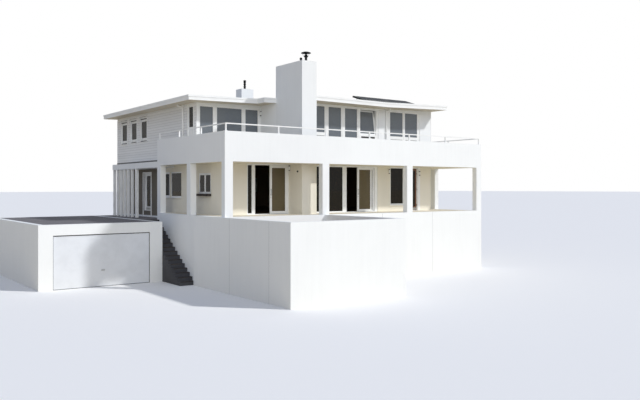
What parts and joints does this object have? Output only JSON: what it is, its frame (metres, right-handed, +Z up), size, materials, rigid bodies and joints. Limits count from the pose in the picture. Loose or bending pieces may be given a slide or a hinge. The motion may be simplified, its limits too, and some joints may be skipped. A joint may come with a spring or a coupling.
{
  "type": "beach house",
  "caption": "Two-storey white beach house on a raised terrace, with a colonnaded deck, flat roof, tall chimney, outside stair, planter and garage.",
  "frame": {"origin": "middle of the whole building's plan, at the driveway level that its walls stand on", "axes": "+X to the right along the front, +Y from the front to the rear, +Z up"},
  "size_m": [23.12, 21.16, 11.23],
  "materials": {
    "white_render": "matt painted render",
    "white_boards": "satin paint on lapped boards",
    "terrace_paving": "matt paving",
    "floor_concrete": "smooth concrete",
    "stair_concrete": "rough grey concrete",
    "soffit_paint": "warm white paint on concrete",
    "frame_paint": "satin white",
    "door_frame_paint": "satin white",
    "door_wood": "satin stained wood",
    "garage_door_paint": "satin white panels",
    "glazing": "grey glass",
    "hinge_steel": "satin",
    "rail_paint": "satin white",
    "roof_membrane": "matt light grey sheet",
    "roof_edge_metal": "satin white",
    "chimney_render": "grey render",
    "cowl_metal": "dark satin",
    "panel_face": "dark glossy collector",
    "pipe_paint": "satin white"
  },
  "bodies": {
    "building": {"foundation_walls": "white_render", "plinth_walls": "white_render", "terrace_slab": "terrace_paving", "ground_floor": "floor_concrete", "planter_side_walls": "white_render", "planter_front_wall": "white_render", "planter_floor": "floor_concrete", "stair": "stair_concrete", "porch_floor": "terrace_paving", "garage_front_wall": "white_render", "garage_side_walls": "white_render", "garage_cross_walls": "white_render", "garage_roof": "terrace_paving", "garage_door": "garage_door_paint", "ground_front_wall": "white_render", "ground_front_spandrels": "white_render", "ground_side_walls": "white_render", "ground_side_spandrels": "white_render", "ground_rear_wall": "white_render", "ground_window_frames": "frame_paint", "ground_glass": "glazing", "door_jambs": "frame_paint", "door_heads_and_sills": "frame_paint", "door_hinges": "hinge_steel", "upper_floor": "soffit_paint", "upper_front_wall": "white_boards", "upper_front_spandrels": "white_boards", "upper_side_walls": "white_boards", "upper_rear_wall": "white_boards", "upper_window_frames": "frame_paint", "upper_open_sash": "frame_paint", "upper_glass": "glazing", "deck_columns": "white_render", "deck_front_slab": "soffit_paint", "deck_side_slabs": "soffit_paint", "deck_front_parapet": "white_render", "deck_side_parapets": "white_render", "rail_posts": "rail_paint", "rail_bars": "rail_paint", "porch_roof": "white_render", "porch_screen": "frame_paint", "roof": "roof_membrane", "roof_edge": "roof_edge_metal", "tall_chimney": "white_render", "small_chimney": "chimney_render", "chimney_cowls": "cowl_metal", "solar_panels": "panel_face", "rainwater_pipes": "pipe_paint"},
    "left_sliding_door": {"left_slider": "door_frame_paint", "left_slider_glass": "glazing"},
    "right_sliding_door": {"right_slider": "door_frame_paint", "right_slider_glass": "glazing"},
    "terrace_door_leaf": {"terrace_door": "door_wood", "terrace_door_glass": "glazing"},
    "porch_door_leaf": {"porch_door": "door_frame_paint", "porch_door_glass": "glazing"}
  },
  "joints": [
    {"name": "left_door_slide", "type": "slide", "parent": "building", "child": "left_sliding_door", "axis": [1, 0, 0], "range_m": [-0.845, 0]},
    {"name": "right_door_slide", "type": "slide", "parent": "building", "child": "right_sliding_door", "axis": [1, 0, 0], "range_m": [-0.745, 0.195]},
    {"name": "terrace_door_hinge", "type": "hinge", "parent": "building", "child": "terrace_door_leaf", "pos_m": [8.3975, -3.204, 4.45], "axis": [0, 0, 1], "range_deg": [0, 95]},
    {"name": "porch_door_hinge", "type": "hinge", "parent": "building", "child": "porch_door_leaf", "pos_m": [-3.906, 6.1675, 4.45], "axis": [0, 0, 1], "range_deg": [0, 95]}
  ]
}
